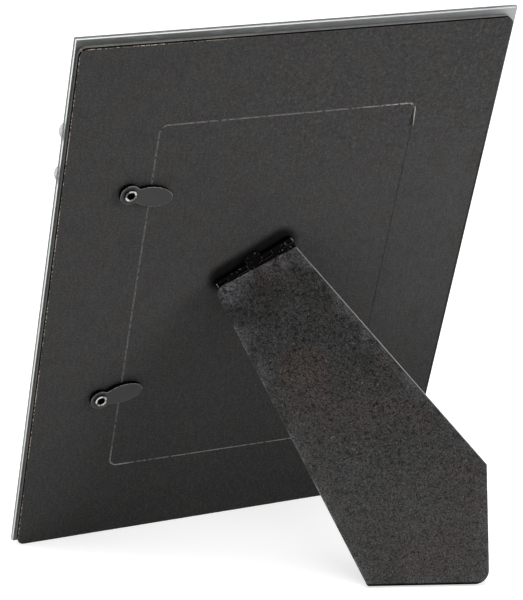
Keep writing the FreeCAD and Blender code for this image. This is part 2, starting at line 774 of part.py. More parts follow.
def strut_slab(label, prefix, low, thickness, inset):
    """A slab of the strut's outline, with each corner rounded to its own radius less an inset."""
    body = new_body(label)
    sketch = new_sketch(body, f"{label}_outline", low)
    corners = {corner: (f"{prefix}_{corner}_along", f"{prefix}_{corner}_up") for corner in STRUT_CORNERS}
    draw_polygon(sketch, list(corners.values()))
    pad(body, f"{label}_slab", sketch, thickness)
    for corner, spot in corners.items():
        edges = upright_edges(body.Shape, [spot])
        fillet(body, f"{label}_{corner}_round", edges, f"{CORNER_ROUNDS[corner]} - {inset}")
    return body


def make_strut_cover():
    """Grained paper over the strut's outer face and down its edges."""
    body = strut_slab("strut_cover", "strut", "axis_height", "strut_thickness", "0")
    inner_face = faces_at(body.Shape, "axis_height")
    dress(body, "PartDesign::Thickness", "strut_cover_hollow", inner_face, "Value", "cover_thickness")
    body.Tip.Reversed = True
    doc.recompute()
    outer_rim = flat_edges(body.Shape, ("axis_height + strut_thickness",))
    fillet(body, "strut_cover_edge", outer_rim, "cover_edge_round")
    body.Placement = STRUT_PLACE
    return body


def make_strut_core():
    """The strut's hardboard core, drilled for the rivets of the hinge."""
    body = strut_slab("strut_core", "lined", "axis_height + cover_thickness",
                      "strut_thickness - 2 * cover_thickness", "cover_thickness")
    outer = "axis_height + strut_thickness - cover_thickness"
    spots = rivet_pair("strut_rivet_in", "strut_rivet_drop")
    drill(body, "rivet_holes", spots, "rivet_radius", outer, "strut_thickness")
    drill(body, "rivet_pockets", spots, "rivet_flare_radius", outer, "rivet_flare_depth")
    body.Placement = STRUT_PLACE
    return body


def make_strut_lining():
    body = strut_slab("strut_lining", "lined", "axis_height", "cover_thickness", "cover_thickness")
    spots = rivet_pair("strut_rivet_in", "strut_rivet_drop")
    drill(body, "rivet_holes", spots, "rivet_radius", "axis_height + cover_thickness", "cover_thickness")
    body.Placement = STRUT_PLACE
    return body


def hinge_place():
    """The strut frame's place while the strut is folded, in the back frame."""
    start = FreeCAD.Vector(value("-hinge_side"), value("board_height / 2 + hinge_rise"), value("axis_height"))
    slanted = FreeCAD.Rotation(FreeCAD.Vector(0, 0, 1), value("hinge_slant"))
    return FreeCAD.Placement(start, slanted)


def stand_place():
    """The back frame's place in the world: leaning back about the board's lower back edge."""
    lean = math.radians(value("lean_angle"))
    across = FreeCAD.Vector(-1, 0, 0)
    up = FreeCAD.Vector(0, math.sin(lean), math.cos(lean))
    out = FreeCAD.Vector(0, math.cos(lean), -math.sin(lean))
    return FreeCAD.Placement(FreeCAD.Vector(0, 0, 0), FreeCAD.Rotation(across, up, out, "XYZ"))


def build_nodes():
    make_glass()
    make_coat()
    make_bead("bead_upper", "bead_upper_in", "bead_upper_drop")
    make_bead("bead_lower", "bead_lower_in", "bead_lower_drop")
    make_bond()
    make_card()
    make_board()
    make_door()
    make_facing()
    upper, lower = eyelet_spots()
    make_eyelet("eyelet_upper", upper)
    make_eyelet("eyelet_lower", lower)
    make_button("turn_button_upper", upper, "button_upper_turn")
    make_button("turn_button_lower", lower, "button_lower_turn")
    make_door_leaf()
    make_strut_leaf()
    make_pin()
    make_rivets("door_rivets", "leaf_thickness - axis_height", False,
                "leaf_thickness + facing_thickness + core_thickness",
                rivet_pair("door_rivet_in", "door_rivet_drop"), HINGE_PLACE)
    make_rivets("strut_rivets", "axis_height - leaf_thickness", True,
                "leaf_thickness + strut_thickness - cover_thickness",
                rivet_pair("strut_rivet_in", "strut_rivet_drop"), STRUT_PLACE)
    make_strut_core()
    make_strut_cover()
    make_strut_lining()


def stand_up():
    """Lean every node back, then move the whole so that its origin is under its middle."""
    stand = stand_place()
    for node in NODES:
        node.Placement = stand.multiply(node.Placement)
    doc.recompute()
    whole = FreeCAD.BoundBox()
    for node in NODES:
        whole.add(node.Shape.optimalBoundingBox(False))
    shift = FreeCAD.Vector(-whole.Center.x, -whole.Center.y, -whole.ZMin)
    for node in NODES:
        moved = node.Placement.copy()
        moved.Base = moved.Base + shift
        node.Placement = moved
    doc.recompute()
    return FreeCAD.Placement(shift, FreeCAD.Rotation()).multiply(stand), whole


def check_nodes():
    for item in doc.Objects:
        if "Invalid" in item.State or "Error" in item.State:
            raise RuntimeError(f"{item.Label} failed: {item.State}")
    for node in NODES:
        if node.Shape.isNull() or not node.Shape.isValid():
            raise RuntimeError(f"{node.Label} has no valid shape")


def write_nodes():
    os.makedirs(PARTS_FOLDER, exist_ok=True)
    for node in NODES:
        node.Shape.exportStep(os.path.join(PARTS_FOLDER, f"{node.Label}.step"))
        print(f"{node.Label}: {len(node.Shape.Solids)} solid, {node.Shape.Volume:.1f} mm3")


def print_places(world, whole):
    """Places and directions that the record repeats, in metres."""
    def metres(vector):
        return [round(part / 1000, 6) for part in vector]
    def way(placement, direction):
        return [round(part, 6) for part in placement.Rotation.multVec(direction)]
    strut = world.multiply(STRUT_PLACE)
    print("size in mm", round(whole.XLength, 2), round(whole.YLength, 2), round(whole.ZLength, 2))
    print("strut hinge at", metres(strut.Base), "along", way(strut, FreeCAD.Vector(1, 0, 0)))
    for name, (across, up) in zip(("upper", "lower"), eyelet_spots()):
        spot = world.multVec(FreeCAD.Vector(value(across), value(up), value("button_height") / 2))
        print(name, "button at", metres(spot), "about", way(world, FreeCAD.Vector(0, 0, 1)))
    edge = FreeCAD.Vector(0, 0, value("-(facing_thickness + core_thickness / 2)"))
    print("lower edge at", metres(world.multVec(edge)), "facing", way(world, FreeCAD.Vector(0, -1, 0)))


doc = FreeCAD.newDocument("easel_back_frame")
sheet = fill_sheet(doc)
HINGE_PLACE = hinge_place()
OPENED = FreeCAD.Rotation(FreeCAD.Vector(1, 0, 0), -value("open_angle"))
STRUT_PLACE = HINGE_PLACE.multiply(FreeCAD.Placement(FreeCAD.Vector(0, 0, 0), OPENED))
build_nodes()
WORLD, WHOLE = stand_up()
check_nodes()
write_nodes()
print_places(WORLD, WHOLE)
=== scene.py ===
import json
import math
import bpy
import bmesh
from mathutils import Matrix, Vector


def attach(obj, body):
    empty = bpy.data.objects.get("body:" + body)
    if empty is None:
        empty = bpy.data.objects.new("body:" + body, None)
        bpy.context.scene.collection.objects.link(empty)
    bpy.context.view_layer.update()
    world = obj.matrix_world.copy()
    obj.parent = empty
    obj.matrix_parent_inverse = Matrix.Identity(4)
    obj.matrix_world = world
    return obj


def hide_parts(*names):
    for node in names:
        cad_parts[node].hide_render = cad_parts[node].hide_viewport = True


# Photo frame seen from behind: a black-faced fibre board on a mirrored glass plate, with two turn
# buttons and a grained strut on a slanted metal hinge. Lengths are metres; MM turns millimetres
# into them. The back frame has x to the right as seen from behind, y up along the board, z out of
# its back, and its origin in the middle of the facing's lower edge. Colours are linear.

MM = 0.001
WELD = 0.001 * MM
SAME_LEVEL = 0.01 * MM

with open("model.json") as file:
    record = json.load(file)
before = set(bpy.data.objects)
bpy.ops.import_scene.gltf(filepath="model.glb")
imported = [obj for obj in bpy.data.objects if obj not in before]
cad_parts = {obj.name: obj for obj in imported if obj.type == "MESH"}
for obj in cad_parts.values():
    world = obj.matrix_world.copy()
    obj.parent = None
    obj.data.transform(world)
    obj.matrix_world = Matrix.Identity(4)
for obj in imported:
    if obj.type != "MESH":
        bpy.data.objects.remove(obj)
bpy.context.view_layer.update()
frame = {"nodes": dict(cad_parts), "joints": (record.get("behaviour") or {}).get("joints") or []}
NODES = frame["nodes"]
JOINTS = {joint["name"]: joint for joint in frame["joints"]}


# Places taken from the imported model


def joint_axis(name):
    return Vector(JOINTS[name]["axis"]).normalized()


def back_frame():
    """Matrix from the back frame to the world, from the buttons' axis and the facing sheet."""
    out = joint_axis("upper_button_turn")
    across = Vector((-1, 0, 0))
    turn = Matrix((across, out.cross(across), out)).transposed()
    points = [turn.transposed() @ v.co for v in NODES["back_facing"].data.vertices]
    low = [min(p[i] for p in points) for i in range(3)]
    high = [max(p[i] for p in points) for i in range(3)]
    origin = turn @ Vector(((low[0] + high[0]) / 2, low[1], high[2]))
    return Matrix.Translation(origin) @ turn.to_4x4()


BACK = back_frame()
TO_BACK = BACK.inverted()
OUT = BACK.to_3x3() @ Vector((0, 0, 1))


def node_box(name, to_frame=TO_BACK):
    """Lowest and highest corner of a CAD node in the back frame, or in another one."""
    points = [to_frame @ v.co for v in NODES[name].data.vertices]
    return (
        Vector(min(p[i] for p in points) for i in range(3)),
        Vector(max(p[i] for p in points) for i in range(3)),
    )


def convex_outline(points):
    """The convex outline of flat points, counter-clockwise."""
    flat = sorted(set(points))
    hull = []
    for sweep in (flat, flat[::-1]):
        start = len(hull)
        for x, y in sweep:
            while len(hull) >= start + 2:
                (ax, ay), (bx, by) = hull[-2:]
                if (bx - ax) * (y - ay) - (by - ay) * (x - ax) > 0:
                    break
                hull.pop()
            hull.append((x, y))
        hull.pop()
    return hull


def strut_edges():
    """The inward direction and the offset of each long edge of the strut, in world metres.

    The longest one whose inward direction leans to +x, at the photograph's right, comes first.
    """
    shortest, least_lean = 15 * MM, 0.3
    mesh = NODES["strut_cover"].data
    areas = {}
    for face in mesh.polygons:
        key = tuple(round(c, 2) for c in face.normal)
        areas[key] = areas.get(key, 0.0) + face.area
    widest = sorted(areas, key=areas.get)[-2:]
    out = max((Vector(n) for n in widest), key=lambda n: n.z).normalized()
    across = joint_axis("strut_hinge")
    along = out.cross(across)
    outline = convex_outline(
        (round(v.co.dot(across), 6), round(v.co.dot(along), 6)) for v in mesh.vertices)
    edges = []
    for (ax, ay), (bx, by) in zip(outline, outline[1:] + outline[:1]):
        length = math.hypot(bx - ax, by - ay)
        if length > shortest:
            inward = across * (-(by - ay) / length) + along * ((bx - ax) / length)
            offset = (ax * (by - ay) - ay * (bx - ax)) / length
            edges.append((length * (inward.x > least_lean), inward, offset))
    edges.sort(key=lambda edge: edge[0], reverse=True)
    return [edge[1:] for edge in edges]


def hinge_line():
    """The middle of the hinge pin, the direction along it and half its length."""
    axis = joint_axis("strut_hinge")
    pos = Vector(JOINTS["strut_hinge"]["pos_m"])
    reach = [(v.co - pos).dot(axis) for v in NODES["hinge_pin"].data.vertices]
    return pos + axis * (min(reach) + max(reach)) / 2, axis, (max(reach) - min(reach)) / 2


STRUT_EDGES = strut_edges()
HINGE_MIDDLE, HINGE_AXIS, HINGE_HALF = hinge_line()
FACING_HIGH = node_box("back_facing")[1]
DOOR_LOW, DOOR_HIGH = node_box("door_panel")
KERF = 0.3 * MM
DOOR_ROUND = 3.35 * MM
KERF_RETURN = 9.5 * MM


# Materials

# Places of the Mix node's colour sockets, whose names its other sockets have too
MIX_FIRST, MIX_SECOND, MIX_RESULT = 6, 7, 2


class Surface:
    """A material with one Principled shader, built up by short calls."""

    def __init__(self, name, **sockets):
        self.material = bpy.data.materials.new(name)
        self.material.use_nodes = True
        self.tree = self.material.node_tree
        self.shader = self.tree.nodes["Principled BSDF"]
        for socket, amount in sockets.items():
            self.set(socket.replace("_", " "), amount)

    def set(self, name, amount):
        self.join(amount, self.shader.inputs[name])

    def join(self, amount, socket):
        if isinstance(amount, bpy.types.NodeSocket):
            self.tree.links.new(amount, socket)
        elif socket.type == "RGBA":
            socket.default_value = (*amount[:3], 1)
        else:
            socket.default_value = amount

    def node(self, kind, inputs=(), **settings):
        made = self.tree.nodes.new(kind)
        for name, choice in settings.items():
            setattr(made, name, choice)
        for name, amount in dict(inputs).items():
            self.join(amount, made.inputs[name])
        return made

    def math(self, operation, *amounts):
        return self.node("ShaderNodeMath", dict(enumerate(amounts)), operation=operation).outputs[0]

    def times(self, first, *others):
        for other in others:
            first = self.math("MULTIPLY", first, other)
        return first

    def lowest(self, first, *others):
        for other in others:
            first = self.math("MINIMUM", first, other)
        return first

    def rest_of(self, share):
        return self.math("SUBTRACT", 1.0, share)

    def vector(self, operation, *inputs, output="Value"):
        made = self.node("ShaderNodeVectorMath", dict(enumerate(inputs)), operation=operation)
        return made.outputs[output]

    def spread(self, amount, low, high, start=0.0, end=1.0, smooth=False):
        """Maps low..high to start..end, held at the ends."""
        kind = "SMOOTHSTEP" if smooth else "LINEAR"
        inputs = {"Value": amount, "From Min": low, "From Max": high,
                  "To Min": start, "To Max": end}
        return self.node("ShaderNodeMapRange", inputs, interpolation_type=kind).outputs["Result"]

    def mix(self, share, first, second):
        made = self.node("ShaderNodeMix", data_type="RGBA")
        self.join(share, made.inputs["Factor"])
        self.join(first, made.inputs[MIX_FIRST])
        self.join(second, made.inputs[MIX_SECOND])
        return made.outputs[MIX_RESULT]

    def stain(self, tone, amount, share, colour):
        """The tone with a colour laid over it by an amount, at most by a share."""
        return self.mix(self.times(amount, share), tone, colour)

    def at_rest(self):
        """World position at rest, which stays with the piece as it moves."""
        return self.node("ShaderNodeTexCoord").outputs["Object"]

    def place(self):
        """Position at rest in the back frame."""
        inputs = {
            "Vector": self.at_rest(),
            "Location": TO_BACK.to_translation(),
            "Rotation": TO_BACK.to_euler(),
        }
        return self.node("ShaderNodeMapping", inputs).outputs["Vector"]

    def outward(self):
        """How far a face turns out of the board's back: 1 straight out, -1 straight in."""
        normal = self.node("ShaderNodeNewGeometry").outputs["Normal"]
        normal = self.node("ShaderNodeVectorTransform", {"Vector": normal}, vector_type="NORMAL",
                           convert_from="WORLD", convert_to="OBJECT").outputs["Vector"]
        return self.vector("DOT_PRODUCT", normal, OUT)

    def axes(self, vector):
        return self.node("ShaderNodeSeparateXYZ", {"Vector": vector}).outputs[:3]

    def stretch(self, vector, scale):
        inputs = {"Vector": vector, "Scale": scale}
        return self.node("ShaderNodeMapping", inputs).outputs["Vector"]

    def noise(self, vector, size, detail=2.0, roughness=0.5, distortion=0.0):
        """Cloudy noise whose features are about size wide."""
        inputs = {"Vector": vector, "Scale": 1 / size, "Detail": detail,
                  "Roughness": roughness, "Distortion": distortion}
        return self.node("ShaderNodeTexNoise", inputs).outputs["Fac"]

    def bump(self, height, depth, strength=1.0, under=None):
        inputs = {"Height": height, "Distance": depth, "Strength": strength}
        if under is not None:
            inputs["Normal"] = under
        return self.node("ShaderNodeBump", inputs).outputs["Normal"]


def grey(level):
    return (level, level, level)


# Near black: painted shade round the hinge, along the facing's cut side and in the crevice under
# it, and the dark line along the facing's right edge
NEAR_BLACK = grey(0.003)
BRIGHT_THREAD = (0.95, 0.93, 0.84)
CLEAR_GLASS = (0.955, 0.98, 0.97)


def edge_distance(s, x, y):
    """How far a point lies inside the facing sheet's outline."""
    side = s.math("SUBTRACT", FACING_HIGH.x, s.math("ABSOLUTE", x))
    top = s.math("SUBTRACT", FACING_HIGH.y, y)
    return s.lowest(side, top, y)


def door_distance(s, x, y):
    """Distance from the middle of the door's cut, over all four sides."""
    middle = (DOOR_LOW + DOOR_HIGH) / 2
    half = (DOOR_HIGH - DOOR_LOW) / 2
    reach = []
    for amount, centre, size in ((x, middle.x, half.x), (y, middle.y, half.y)):
        off = s.math("ABSOLUTE", s.math("SUBTRACT", amount, centre))
        reach.append(s.math("SUBTRACT", off, size + KERF / 2 - DOOR_ROUND))
    outside = [s.math("POWER", s.math("MAXIMUM", r, 0.0), 2.0) for r in reach]
    length = s.math("SQRT", s.math("ADD", *outside))
    inside = s.math("MINIMUM", s.math("MAXIMUM", *reach), 0.0)
    return s.math("ABSOLUTE", s.math("SUBTRACT", s.math("ADD", length, inside), DOOR_ROUND))


def uncut_side(s, x, y):
    """One along the hinged side of the door, where the facing is only creased."""
    return s.times(
        s.math("GREATER_THAN", x, DOOR_HIGH.x - DOOR_ROUND),
        s.math("LESS_THAN", y, DOOR_HIGH.y - KERF_RETURN),
        s.math("GREATER_THAN", y, DOOR_LOW.y + KERF_RETURN))


def hinge_distance(s):
    """Distance from the line along the hinge, which stops short of the pin's ends."""
    offset = s.vector("SUBTRACT", s.at_rest(), HINGE_MIDDLE, output="Vector")
    along = s.vector("DOT_PRODUCT", offset, HINGE_AXIS)
    length = s.vector("LENGTH", offset)
    square = s.math("SUBTRACT", s.times(length, length), s.times(along, along))
    beyond = s.math("SUBTRACT", s.math("ABSOLUTE", along), HINGE_HALF - 4 * MM)
    beyond = s.math("MAXIMUM", beyond, 0.0)
    square = s.math("ADD", s.math("MAXIMUM", square, 0.0), s.times(beyond, beyond))
    return s.math("SQRT", square)


def facing_tone(s, at, x, y, clouds, streaks, tooth):
    """The paper's own mottle, and pebbles near the top, over painted shade darkest low in the
    middle and painted light towards the right.
    """
    cloudy = s.spread(clouds, 0.35, 0.65)
    # Painted shade: darkest low on the board, least so at the far left, and lighter higher up
    lower = s.mix(cloudy, (0.0185, 0.018, 0.0185), (0.0245, 0.024, 0.024))
    lower = s.mix(s.spread(x, -35 * MM, -70 * MM), lower, (0.036, 0.0355, 0.0355))
    upper = s.mix(cloudy, (0.042, 0.040, 0.0405), (0.051, 0.0495, 0.049))
    tone = s.mix(s.spread(y, 10 * MM, 120 * MM), lower, upper)
    # Painted light: a lighter patch towards the right, at mid height
    right = s.times(s.spread(x, 15 * MM, 70 * MM), s.spread(y, 200 * MM, 165 * MM),
                    s.spread(y, 60 * MM, 100 * MM))
    tone = s.stain(tone, right, 0.8, (0.060, 0.0575, 0.0585))
    hue = s.noise(at, 13 * MM, 2.0, 0.5)
    pebbles = s.noise(at, 1.4 * MM, 1.0, 0.5, 0.8)
    raised = s.times(s.spread(y, 150 * MM, 185 * MM, 0.15, 0.45),
                     s.spread(x, -60 * MM, 5 * MM, 0.2, 1.0))
    scuffs = s.noise(at, 2.2 * MM, 4.0, 0.75, 0.6)
    for texture, start, full, share, colour in (
            (hue, 0.52, 0.66, 0.4, (0.036, 0.036, 0.029)),
            (hue, 0.48, 0.34, 0.4, (0.038, 0.034, 0.041)),
            (streaks, 0.5, 0.8, 0.5, (0.070, 0.068, 0.067)),
            (streaks, 0.5, 0.2, 0.5, grey(0.018)),
            (tooth, 0.5, 0.75, 0.45, (0.105, 0.103, 0.100)),
            (tooth, 0.5, 0.25, 0.5, grey(0.008)),
            (pebbles, 0.56, 0.70, raised, (0.090, 0.087, 0.085)),
            (pebbles, 0.44, 0.30, raised, grey(0.014)),
            (scuffs, 0.68, 0.76, 0.5, (0.11, 0.108, 0.105))):
        tone = s.stain(tone, s.spread(texture, start, full), share, colour)
    return tone


def facing_edges(s, tone, at, x, y, side, broken):
    """Pale rubbed dots along the left and lower edges, and a dark line along the right one."""
    patchy = s.times(s.noise(at, 22 * MM, 1.0), 0.5)
    rub = s.times(
        s.spread(edge_distance(s, x, y), 0.12 * MM, 0.32 * MM, 1.0, 0.0),
        s.spread(s.math("ADD", broken, patchy), 0.74, 0.81),
        s.rest_of(side),
        s.math("MAXIMUM", s.spread(x, -20 * MM, -60 * MM), s.spread(y, 8 * MM, 4 * MM)))
    tone = s.stain(tone, rub, 0.9, (0.48, 0.40, 0.36))
    rim = s.times(s.spread(x, FACING_HIGH.x - 1.0 * MM, FACING_HIGH.x - 0.6 * MM),
                  s.spread(y, 195 * MM, 165 * MM))
    return s.stain(tone, rim, s.spread(broken, 0.42, 0.56, 0.5, 1.0), NEAR_BLACK)


def facing_cuts(s, tone, at, x, y, z, broken):
    """The frayed cut round three sides of the door, and the slit torn open at its top right end,
    with a painted shade line inside the lifted flap.
    """
    right, top = DOOR_HIGH.x, DOOR_HIGH.y
    slit_end = top - KERF_RETURN
    beside = s.times(s.math("GREATER_THAN", x, right - 2 * MM),
                     s.spread(y, top - 1.5 * MM, top - 3 * MM))
    frayed = s.times(
        s.spread(door_distance(s, x, y), 0.16 * MM, 0.30 * MM, 1.0, 0.0),
        s.spread(broken, 0.34, 0.52),
        s.rest_of(uncut_side(s, x, y)),
        s.math("LESS_THAN", z, 0.5 * MM),
        s.rest_of(beside))
    near_slit = s.times(s.spread(x, right - 25 * MM, right - 3 * MM),
                        s.spread(y, top - 20 * MM, top - 5 * MM))
    corner = (DOOR_LOW.x + 1.2 * MM, DOOR_LOW.y + 0.8 * MM, 0.0)
    near_corner = s.spread(s.vector("DISTANCE", at, corner), 10 * MM, 1.5 * MM)
    bright = s.math("MAXIMUM", near_slit, near_corner)
    tone = s.stain(tone, frayed, 0.85, s.mix(bright, (0.42, 0.41, 0.385), BRIGHT_THREAD))
    slit = s.times(beside, s.spread(y, slit_end - 0.6 * MM, slit_end))
    opened = s.spread(y, top - 2 * MM, slit_end)
    lip = s.math("SUBTRACT", x, s.spread(opened, 0.0, 1.0, right + 0.1 * MM, right + 0.85 * MM))
    lip = s.times(s.spread(s.math("ABSOLUTE", lip), 0.12 * MM, 0.32 * MM, 1.0, 0.0), slit)
    # Painted shade: a dark line inside the lifted flap, widening as the slit opens
    painted_flap_shade = s.math("SUBTRACT", x, s.spread(opened, 0.0, 1.0, right - 0.2 * MM, right - 0.45 * MM))
    width = s.spread(opened, 0.0, 1.0, 0.3 * MM, 0.75 * MM)
    painted_flap_shade = s.math("SUBTRACT", s.math("ABSOLUTE", painted_flap_shade), width)
    painted_flap_shade = s.times(s.spread(painted_flap_shade, 0.0, 0.25 * MM, 1.0, 0.0), slit)
    tone = s.stain(tone, painted_flap_shade, s.spread(broken, 0.35, 0.6, 0.9, 0.6), grey(0.004))
    return s.stain(tone, lip, s.spread(opened, 0.0, 0.8, 0.95, 0.25), BRIGHT_THREAD)


def facing_surface():
    """Black paper face, with painted shade round the hinge and along its cut side, worn edges and
    the door's cut.
    """
    s = Surface("facing_black")
    at = s.place()
    x, y, z = s.axes(at)
    clouds = s.noise(at, 26 * MM, 3.0, 0.6)
    streaks = s.noise(s.stretch(at, (1.0, 0.3, 1.0)), 1.3 * MM, 3.0, 0.7, 0.5)
    tooth = s.noise(at, 0.75 * MM, 2.0, 0.7)
    broken = s.noise(at, 1.5 * MM, 3.0, 0.7)
    # Painted shade: a soft near-black halo round the hinge, with no sheen
    painted_hinge_shade = s.spread(hinge_distance(s), 4.5 * MM, 8.5 * MM, 0.85, 0.0, smooth=True)
    # The facing's cut side goes near black, darker than the paper and without sheen: black paper
    # edge plus painted shade in the crevice along the board's edge
    side = s.spread(z, -0.12 * MM, -0.2 * MM)
    tone = facing_tone(s, at, x, y, clouds, streaks, tooth)
    tone = s.mix(painted_hinge_shade, tone, NEAR_BLACK)
    tone = s.mix(side, tone, NEAR_BLACK)
    tone = facing_edges(s, tone, at, x, y, side, broken)
    tone = facing_cuts(s, tone, at, x, y, z, broken)
    s.set("Base Color", tone)
    s.set("Specular IOR Level", s.spread(s.math("MAXIMUM", side, painted_hinge_shade), 0.0, 1.0, 0.12, 0.0))
    s.set("Roughness", s.spread(clouds, 0.3, 0.7, 0.52, 0.66))
    s.set("Normal", s.bump(tooth, 0.08 * MM, 0.8, s.bump(streaks, 0.08 * MM, 0.5)))
    return s.material


def cover_tone(s, at, along, pits, fine, clouds):
    """The covering's pebbles, pits and flecks, with a faint brown stain, and painted shade that
    darkens it towards the hinge.
    """
    hue = s.noise(at, 20 * MM, 1.0, 0.5)
    flecks = s.noise(at, 0.8 * MM, 2.0, 0.7, 1.0)
    high = s.mix(along, (0.042, 0.0415, 0.0395), (0.0745, 0.073, 0.0695))
    high = s.stain(high, s.spread(hue, 0.54, 0.68), 0.3, (0.104, 0.074, 0.068))
    high = s.stain(high, s.spread(hue, 0.46, 0.34), 0.25, (0.075, 0.075, 0.092))
    high = s.mix(s.spread(clouds, 0.35, 0.65, 0.0, 0.3), high, (0.110, 0.107, 0.101))
    from_stain = s.vector("DISTANCE", at, (5 * MM, 98 * MM, 37 * MM))
    stained = s.spread(from_stain, 5 * MM, 15 * MM, 0.45, 0.0, smooth=True)
    high = s.mix(stained, high, (0.108, 0.076, 0.064))
    deep = s.mix(along, grey(0.002), (0.014, 0.0137, 0.013))
    tone = s.mix(s.spread(fine, 0.38, 0.62), deep, high)
    tone = s.stain(tone, s.spread(flecks, 0.63, 0.73), s.spread(along, 0.0, 1.0, 0.75, 0.55),
                   (0.215, 0.21, 0.20))
    return s.stain(tone, s.spread(pits, 0.48, 0.36), s.spread(along, 0.0, 1.0, 1.0, 0.6),
                   grey(0.001))


def cover_wear(s, tone, at, y, along, fine, clouds):
    """Pale worn edges, two scuffs beside the hinge, a painted highlight along the right edge and
    smudges inside them.
    """
    position = s.at_rest()
    inside = [s.math("ADD", s.vector("DOT_PRODUCT", position, inward), offset)
              for inward, offset in STRUT_EDGES]
    edge = s.lowest(*inside)
    patches = s.times(
        s.spread(clouds, 0.47, 0.56, 0.1, 1.0),
        s.spread(y, 25 * MM, 45 * MM, 0.1, 1.0),
        s.spread(s.noise(at, 2.5 * MM, 3.0, 0.7, 0.8), 0.44, 0.56, 0.2, 1.0))
    worn = s.times(s.spread(edge, 0.1 * MM, 0.5 * MM, 1.0, 0.0), s.spread(fine, 0.36, 0.52))
    tone = s.stain(tone, worn, patches, (0.30, 0.295, 0.285))
    rubbed = s.spread(s.noise(at, 1.5 * MM, 3.0, 0.75, 1.0), 0.46, 0.60)
    for reach, size, share in ((-0.85, 13 * MM, 0.85), (0.45, 12 * MM, 0.7)):
        spot = HINGE_MIDDLE + HINGE_AXIS * reach * HINGE_HALF
        near = s.spread(s.vector("DISTANCE", position, spot), size * 0.3, size, share, 0.0)
        tone = s.stain(tone, near, rubbed, (0.185, 0.178, 0.195))
    # Painted highlight: a pale line along the right edge, where light catches it
    painted_edge_highlight = s.times(s.spread(inside[0], 0.1 * MM, 0.45 * MM, 1.0, 0.0),
                    s.spread(y, 55 * MM, 75 * MM))
    tone = s.stain(tone, painted_edge_highlight, s.spread(fine, 0.3, 0.45, 0.3, 0.9), (0.42, 0.415, 0.405))
    smudge = s.times(s.spread(edge, 0.5 * MM, 6 * MM, 1.0, 0.0), s.spread(clouds, 0.42, 0.58))
    share = s.times(s.spread(fine, 0.4, 0.6), s.spread(along, 0.0, 0.6, 0.9, 0.35))
    return s.stain(tone, smudge, share, (0.125, 0.12, 0.134))


def cover_surface():
    """Grained covering of the strut, darker near the hinge as painted shade, and with a painted
    contact shadow in near black along its bottom edge.
    """
    s = Surface("cover_grain")
    at = s.place()
    y = s.axes(at)[1]
    pits = s.noise(at, 1.5 * MM, 3.0, 0.8, 0.5)
    fine = s.noise(at, 0.55 * MM, 3.0, 0.8)
    clouds = s.noise(at, 9 * MM, 3.0, 0.6)
    # Along runs from 0 at the hinge end to 1 lower down; the covering darkens towards the hinge as
    # painted shade
    along = s.spread(y, 113 * MM, 60 * MM)
    tone = cover_tone(s, at, along, pits, fine, clouds)
    tone = cover_wear(s, tone, at, y, along, fine, clouds)
    height = s.axes(s.at_rest())[2]
    # Painted shadow: near black without sheen along the bottom edge, where the strut meets the
    # floor
    painted_foot_shadow = s.spread(height, 1.35 * MM, 1.85 * MM, 0.95, 0.0)
    s.set("Base Color", s.mix(painted_foot_shadow, tone, grey(0.002)))
    s.set("Specular IOR Level", s.spread(painted_foot_shadow, 0.0, 0.5, 0.12, 0.0))
    s.set("Roughness", s.spread(fine, 0.3, 0.7, 0.42, 0.6))
    s.set("Normal", s.bump(pits, 0.35 * MM, 0.9, s.bump(fine, 0.15 * MM, 0.8)))
    return s.material


def fibre_surface():
    """Pressed fibre board: stained dark round the outside, pale fibre where the door was cut, and
    painted shade in near black along the top of its outer wall, under the facing.
    """
    s = Surface("fibreboard", Roughness=0.85)
    at = s.place()
    x, y, z = s.axes(at)
    layers = s.noise(s.stretch(at, (0.15, 0.15, 1.0)), 0.5 * MM, 3.0, 0.7)
    specks = s.noise(at, 0.6 * MM, 3.0, 0.7)
    clouds = s.noise(at, 12 * MM, 2.0)
    layered = s.spread(layers, 0.35, 0.65)
    pale = s.mix(layered, (0.20, 0.17, 0.135), (0.34, 0.30, 0.25))
    stained = s.mix(layered, (0.085, 0.084, 0.078), (0.135, 0.133, 0.124))
    stained = s.stain(stained, s.spread(specks, 0.58, 0.75), 0.3, (0.15, 0.14, 0.125))
    stained = s.mix(s.spread(clouds, 0.4, 0.7, 0.0, 0.35), stained, (0.06, 0.046, 0.040))
    near_edge = s.spread(edge_distance(s, x, y), 0.6 * MM, 1.2 * MM, 1.0, 0.0)
    # Painted shade: the top of the outer wall, next to the facing, in near black without sheen
    painted_crevice_shade = s.times(s.spread(z, -1.4 * MM, -1.25 * MM), near_edge)
    s.set("Base Color", s.mix(painted_crevice_shade, s.mix(near_edge, pale, stained), NEAR_BLACK))
    s.set("Specular IOR Level", s.spread(painted_crevice_shade, 0.0, 1.0, 0.2, 0.0))
    s.set("Normal", s.bump(specks, 0.08 * MM, 0.8, s.bump(layers, 0.1 * MM, 0.6)))
    return s.material


def glass_surface():
    """Clear plate glass, faintly green, with a matt ground edge."""
    s = Surface("plate_glass", Transmission_Weight=1.0, IOR=1.5)
    at = s.place()
    low, high = node_box("glass_plate")
    x, y, _ = s.axes(at)
    sides = s.lowest(
        s.math("SUBTRACT", x, low.x), s.math("SUBTRACT", high.x, x),
        s.math("SUBTRACT", y, low.y), s.math("SUBTRACT", high.y, y))
    ground = s.spread(sides, 0.2 * MM, 0.65 * MM, 1.0, 0.0)
    haze = s.noise(at, 0.25 * MM, 2.0)
    s.set("Base Color", s.mix(ground, CLEAR_GLASS, (0.50, 0.525, 0.515)))
    s.set("Roughness", s.times(ground, s.spread(haze, 0.3, 0.7, 0.35, 0.55)))
    s.set("Normal", s.bump(haze, 0.01 * MM, s.times(ground, 0.5)))
    return s.material


